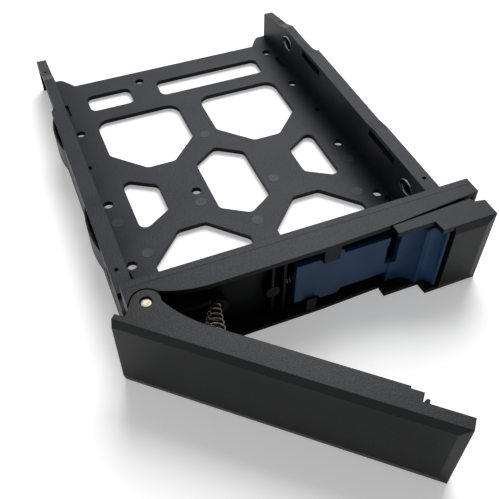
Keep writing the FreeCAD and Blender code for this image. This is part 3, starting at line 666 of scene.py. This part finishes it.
@dataclass
class HingePin(Piece):
    """The lever's steel pin, whose two heads fill the lever's counterbores.

    Attributes:
        name: Piece name.
        under: Clearance between a head and its counterbore's floor, in metres.
        head_radius: Radius of a head, in metres.
        head: Height of a head, in metres.
        crown: How far a head's middle stands in from its rim, in metres.
        crown_rim: Width of that rim, as a share of the head's radius.
        chamfer: Width of the heads' chamfers, in metres.
    """

    name: str = "hinge_pin_turned"
    under: float = 0.05 * MM
    head_radius: float = 1.58 * MM
    head: float = 0.55 * MM
    crown: float = 0.05 * MM
    crown_rim: float = 0.45
    chamfer: float = 0.14 * MM

    def build(self) -> bpy.types.Object:
        """Turns the pin from a cylinder the size of its plain solid.

        Returns:
            The finished pin, riding with the tray.
        """
        low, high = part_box("hinge_pin")
        radius = (high.x - low.x) / 2
        middle = (low + high) / 2
        half = (high.z - low.z) / 2
        clear_selection()
        bpy.ops.mesh.primitive_cylinder_add(vertices=48, radius=radius, depth=high.z - low.z,
                                            end_fill_type="NGON", location=middle)
        pin = settle(bpy.context.object, self.name)
        with editing(pin):
            for way in (1.0, -1.0):
                self._add_head(pin, way, middle, self.head_radius / radius)
            end = half + self.under + self.head
            pick(pin, "EDGE", lambda m, n: abs(abs(m.z - middle.z) - end) < 0.001 * MM)
            bpy.ops.mesh.bevel(offset=self.chamfer, segments=2, affect="EDGES",
                               clamp_overlap=True)
            for way in (1.0, -1.0):
                pick(pin, "FACE",
                     lambda m, n, w=way: n.z * w > FLAT and (m.z - middle.z) * w > half)
                bpy.ops.mesh.inset(thickness=self.head_radius * self.crown_rim, depth=0.0)
                bpy.ops.transform.translate(value=(0.0, 0.0, -way * self.crown))
        outward(pin)
        smooth(pin, 30.0)
        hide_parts("hinge_pin")
        return dress(pin, PIN_STEEL)

    def _add_head(self, pin: bpy.types.Object, way: float, middle: Vector,
                  widen: float) -> None:
        """Raises one end of the rod and widens it to a head.

        Args:
            pin: The rod, in edit mode.
            way: 1 for the upper end, -1 for the lower.
            middle: The rod's middle.
            widen: How many times the rod's radius a head's is.
        """
        pick(pin, "FACE", lambda m, n: n.z * way > FLAT and (m.z - middle.z) * way > 0.0)
        bpy.ops.transform.translate(value=(0.0, 0.0, way * self.under))
        push_out((0.0, 0.0, 0.0))
        bpy.ops.transform.resize(value=(widen, widen, 1.0), center_override=tuple(middle))
        push_out((0.0, 0.0, way * self.head))


@dataclass
class WitnessMarks(Piece):
    """Faint round marks that the mould's ejector pins leave on the tray's floor.

    Attributes:
        name: Piece name.
        radius: Radius of a mark, in metres.
        rise: How far a mark stands up, in metres.
        rim: Width of a mark's rim, as a share of its radius.
        dish: Depth of a mark's middle under its rim, as a share of its rise.
        places: Middles of the marks on the floor, in millimetres.
    """

    name: str = "tray_witness_marks"
    radius: float = 2.2 * MM
    rise: float = 0.05 * MM
    rim: float = 0.14
    dish: float = 0.35
    places: tuple[tuple[float, float], ...] = (
        (-40.9, 3.5), (40.9, 3.5), (-46.7, 21.4), (46.7, 21.4), (-15.4, 20.3), (14.9, 22.1),
        (-0.5, 57.2), (0.5, 3.7))

    def build(self) -> bpy.types.Object:
        """Models one mark, copies it to every place and joins the copies.

        Returns:
            The finished marks, riding with the tray.
        """
        clear_selection()
        bpy.ops.mesh.primitive_cylinder_add(vertices=32, radius=self.radius,
                                            depth=self.rise * 2, end_fill_type="NGON",
                                            location=(0.0, 0.0, 0.0))
        first = settle(bpy.context.object, self.name)
        with editing(first):
            pick(first, "FACE", lambda m, n: n.z > FLAT)
            bpy.ops.mesh.inset(thickness=self.radius * self.rim, depth=0.0)
            bpy.ops.transform.translate(value=(0.0, 0.0, -self.rise * self.dish))
        made = spread(first, [shift(x, y) for x, y in self.places], self.name)
        smooth(made, 20.0)
        return dress(made, WITNESS_ABS)


@dataclass
class HoleLiners(Piece):
    """Straight lower ends of the drive screw holes, which let the floor's thickness show.

    Attributes:
        name: Piece name.
        bore: Radius of the holes, in millimetres.
        outer: Radius to which a liner reaches into the floor, in millimetres.
        top: Height of a liner's upper end, in millimetres.
        bottom: Height of its lower end, in millimetres.
        places: Middles of the holes, in millimetres.
    """

    name: str = "tray_hole_liners"
    bore: float = 1.79
    outer: float = 3.4
    top: float = -0.25
    bottom: float = -1.79
    places: tuple[tuple[float, float], ...] = (
        (-47.625, 0.0), (-47.625, 31.75), (-47.625, 76.2), (47.625, 0.0), (47.625, 31.75),
        (47.625, 76.2), (-15.0, 26.6), (-15.0, 103.2), (46.72, 103.2))

    def build(self) -> bpy.types.Object:
        """Bores one ring, copies it to every hole and joins the copies.

        Returns:
            The finished liners, riding with the tray.
        """
        clear_selection()
        bpy.ops.mesh.primitive_cylinder_add(vertices=48, radius=self.outer * MM,
                                            depth=(self.top - self.bottom) * MM,
                                            end_fill_type="NGON", location=(0.0, 0.0, 0.0))
        first = settle(bpy.context.object, self.name)
        with editing(first):
            pick(first, "FACE", lambda m, n: abs(n.z) > FLAT)
            bpy.ops.mesh.inset(thickness=(self.outer - self.bore) * MM, depth=0.0)
            bpy.ops.mesh.bridge_edge_loops()
        outward(first)
        level = (self.top + self.bottom) / 2
        made = spread(first, [shift(x, y, level) for x, y in self.places], self.name)
        smooth(made, 30.0)
        return dress(made, TRAY_ABS)


@dataclass
class Eyelets(Piece):
    """Bright rolled rims round the four access holes, on the drive's side of the walls.

    Attributes:
        name: Piece name.
        ring: Radius of the rim's middle line, in millimetres.
        roll: Radius of the rolled edge, in millimetres.
        sunk: How deep a right-hand rim's middle lies in the wall, in millimetres.
        tilt: How far a right-hand rim leans, so that its upper back part stands out, in
            degrees.
        flush: How deep a left-hand rim's middle lies in the wall, in millimetres.
        lift: Turn from straight up to the part that stands out most, towards the back, in
            degrees.
        bay: Half of the drive bay, in millimetres.
        along: Places of the holes along the tray, in millimetres.
        height: Height of the holes, in millimetres.
        ring_steps: How many straight runs stand for a rim.
        roll_steps: How many sides its section has.
    """

    name: str = "side_hole_eyelets"
    ring: float = 3.30
    roll: float = 0.42
    sunk: float = 0.12
    tilt: float = 11.0
    flush: float = 0.38
    lift: float = 33.0
    bay: float = 51.4
    along: tuple[float, float] = (-10.9, 90.7)
    height: float = 10.6
    ring_steps: int = 48
    roll_steps: int = 14

    def build(self) -> bpy.types.Object:
        """Spins the rolled edge's section round into one rim, then copies it to each hole.

        Returns:
            The finished rims, riding with the tray.
        """
        clear_selection()
        bpy.ops.mesh.primitive_circle_add(vertices=self.roll_steps, radius=self.roll * MM,
                                          location=(0.0, 0.0, self.ring * MM),
                                          rotation=(math.pi / 2, 0.0, 0.0))
        first = settle(bpy.context.object, self.name)
        with editing(first):
            bpy.ops.mesh.select_all(action="SELECT")
            bpy.ops.mesh.spin(steps=self.ring_steps, angle=2 * math.pi,
                              center=(0.0, 0.0, 0.0), axis=(1.0, 0.0, 0.0))
        outward(first)
        turn = math.radians(self.lift)
        highest = Vector((0.0, math.sin(turn), math.cos(turn)))
        tilt = Matrix.Rotation(math.radians(self.tilt), 4,
                               Vector((1.0, 0.0, 0.0)).cross(highest))
        right, left = self.bay + self.sunk, self.bay + self.flush
        places = [shift(right, y, self.height) @ tilt for y in self.along]
        places += [shift(-left, y, self.height) for y in self.along]
        made = spread(first, places, self.name)
        smooth(made, 60.0)
        return dress(made, EYELET_ZINC)


@dataclass
class CarriedSolids:
    """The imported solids, each with its own finish.

    Attributes:
        finishes: Each solid's name with its finish.
    """

    finishes: dict[str, Finish] = field(default_factory=lambda: {
        "tray": TRAY_ABS, "bezel_housing": BEZEL_ABS, "end_block": BEZEL_ABS,
        "latch_slide": LOCK_POM, "lever": LEVER_ABS, "hinge_pin": PIN_STEEL,
        "kick_spring": SPRING_WIRE, "latch_spring": SPRING_WIRE})

    def dress(self) -> None:
        """Sets each solid's material, leaving its mesh alone."""
        for name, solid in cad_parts.items():
            solid.data.materials.clear()
            solid.data.materials.append(self.finishes[name].material())


# --- studio ------------------------------------------------------------------------------


@dataclass(frozen=True)
class SoftBox:
    """A square soft box.

    Attributes:
        name: The lamp's name.
        place: Where it hangs, in metres.
        size: Its side, in metres.
        power: Its power, in watts.
    """

    name: str
    place: Point
    size: float
    power: float

    def hang(self, aim: Point) -> None:
        """Hangs the soft box so that it looks at a place.

        Args:
            aim: That place, in metres.
        """
        lamp = bpy.data.lights.new(self.name, "AREA")
        lamp.shape = "SQUARE"
        lamp.size = self.size
        lamp.energy = self.power
        holder = bpy.data.objects.new(self.name, lamp)
        bpy.context.scene.collection.objects.link(holder)
        holder.location = self.place
        line = Vector(aim) - Vector(self.place)
        holder.rotation_euler = line.to_track_quat("-Z", "Y").to_euler()


@dataclass
class Studio:
    """Paper sweep, lamps, sky and lens.

    Attributes:
        azimuth: Where the lens stands round the caddy, in degrees from the front.
        elevation: Its height above the horizon, in degrees.
        roll: Its tilt about its own line of sight, in degrees.
        place: The lens's place, in millimetres.
        focal: Focal length, in millimetres.
        sensor: Width of the sensor, in millimetres.
        clip: Nearest and farthest distance that the lens takes in, in metres.
        boxes: The soft boxes: one high behind, whose light lies on what is flat, and a weak
            one from the left.
        aim: What the soft boxes look at, in metres.
        sky: Strength of the room's even light.
        paper: Side of the paper, in metres.
        paper_gap: Air between the paper and the caddy's lowest point, in metres.
        paper_cuts: Cuts across the paper.
    """

    azimuth: float = -22.5154
    elevation: float = 48.2071
    roll: float = 0.2015
    place: Point = (-68.2, -154.1, 176.5)
    focal: float = 49.14
    sensor: float = 36.0
    clip: tuple[float, float] = (0.01, 20.0)
    boxes: tuple[SoftBox, ...] = (
        SoftBox("softbox_back", (0.52, 0.84, 1.34), 1.0, 30.0),
        SoftBox("softbox_left", (-1.20, 0.10, 0.70), 0.7, 1.2))
    aim: Point = (0.0, 0.02, 0.01)
    sky: float = 0.20
    paper: float = 6.0
    paper_gap: float = 0.02 * MM
    paper_cuts: int = 8

    def build(self) -> None:
        """Makes the paper, the lamps, the sky and the lens."""
        self._lay_paper()
        for box in self.boxes:
            box.hang(self.aim)
        self._fill_room()
        self._place_lens()

    def _lay_paper(self) -> None:
        """Lays a wide flat sheet under the caddy."""
        clear_selection()
        bpy.ops.mesh.primitive_plane_add(
            size=self.paper, location=(0.0, 0.0, CAD_BOX[0].z - self.paper_gap))
        sheet = settle(bpy.context.object, "studio_paper")
        with editing(sheet):
            bpy.ops.mesh.select_all(action="SELECT")
            bpy.ops.mesh.subdivide(number_cuts=self.paper_cuts)
        sheet.data.materials.append(PAPER.material())

    def _fill_room(self) -> None:
        """Fills the room with even light, and shows it as white where it is looked at."""
        world = bpy.data.worlds.new("studio_room")
        bpy.context.scene.world = world
        world.use_nodes = True
        tree = world.node_tree
        tree.nodes.clear()
        soft, white = (node(tree, "ShaderNodeBackground",
                            {"Color": PLAIN_WHITE, "Strength": strength})
                       for strength in (self.sky, 1.0))
        mix = node(tree, "ShaderNodeMixShader", None,
                   {0: looked_at(tree), 1: soft.outputs["Background"],
                    2: white.outputs["Background"]})
        node(tree, "ShaderNodeOutputWorld", None, {"Surface": mix.outputs["Shader"]})

    def _place_lens(self) -> None:
        """Stands the camera where the caddy is looked at from."""
        lens = bpy.data.cameras.new("lens")
        lens.lens = self.focal
        lens.sensor_width = self.sensor
        lens.clip_start, lens.clip_end = self.clip
        holder = bpy.data.objects.new("lens", lens)
        bpy.context.scene.collection.objects.link(holder)
        turn, rise, roll = (math.radians(v) for v in (self.azimuth, self.elevation, self.roll))
        back = Vector((math.sin(turn) * math.cos(rise), -math.cos(turn) * math.cos(rise),
                       math.sin(rise)))
        right = Vector((math.cos(turn), math.sin(turn), 0.0))
        up = back.cross(right)
        rolled_right = right * math.cos(roll) + up * math.sin(roll)
        rolled_up = up * math.cos(roll) - right * math.sin(roll)
        grid = Matrix((rolled_right, rolled_up, back)).transposed().to_4x4()
        holder.matrix_world = shift(*self.place) @ grid
        bpy.context.scene.camera = holder


def main() -> None:
    """Dresses the solids, builds every further piece in order and reports each."""
    logging.basicConfig(level=logging.INFO, format="%(name)s %(message)s")
    bpy.context.scene.view_settings.view_transform = "Standard"
    carried = CarriedSolids()
    carried.dress()
    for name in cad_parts:
        LOG.info("%s: %s", name, carried.finishes[name].name)
    for piece in (KICK_SPRING, LATCH_SPRING, HingePin(), WitnessMarks(), HoleLiners(),
                  Eyelets()):
        made = piece.build()
        LOG.info("%s: %d faces", made.name, len(made.data.polygons))
    studio = Studio()
    studio.build()
    LOG.info("studio: paper, %d soft boxes, sky and lens", len(studio.boxes))


if __name__ == "__main__":
    main()
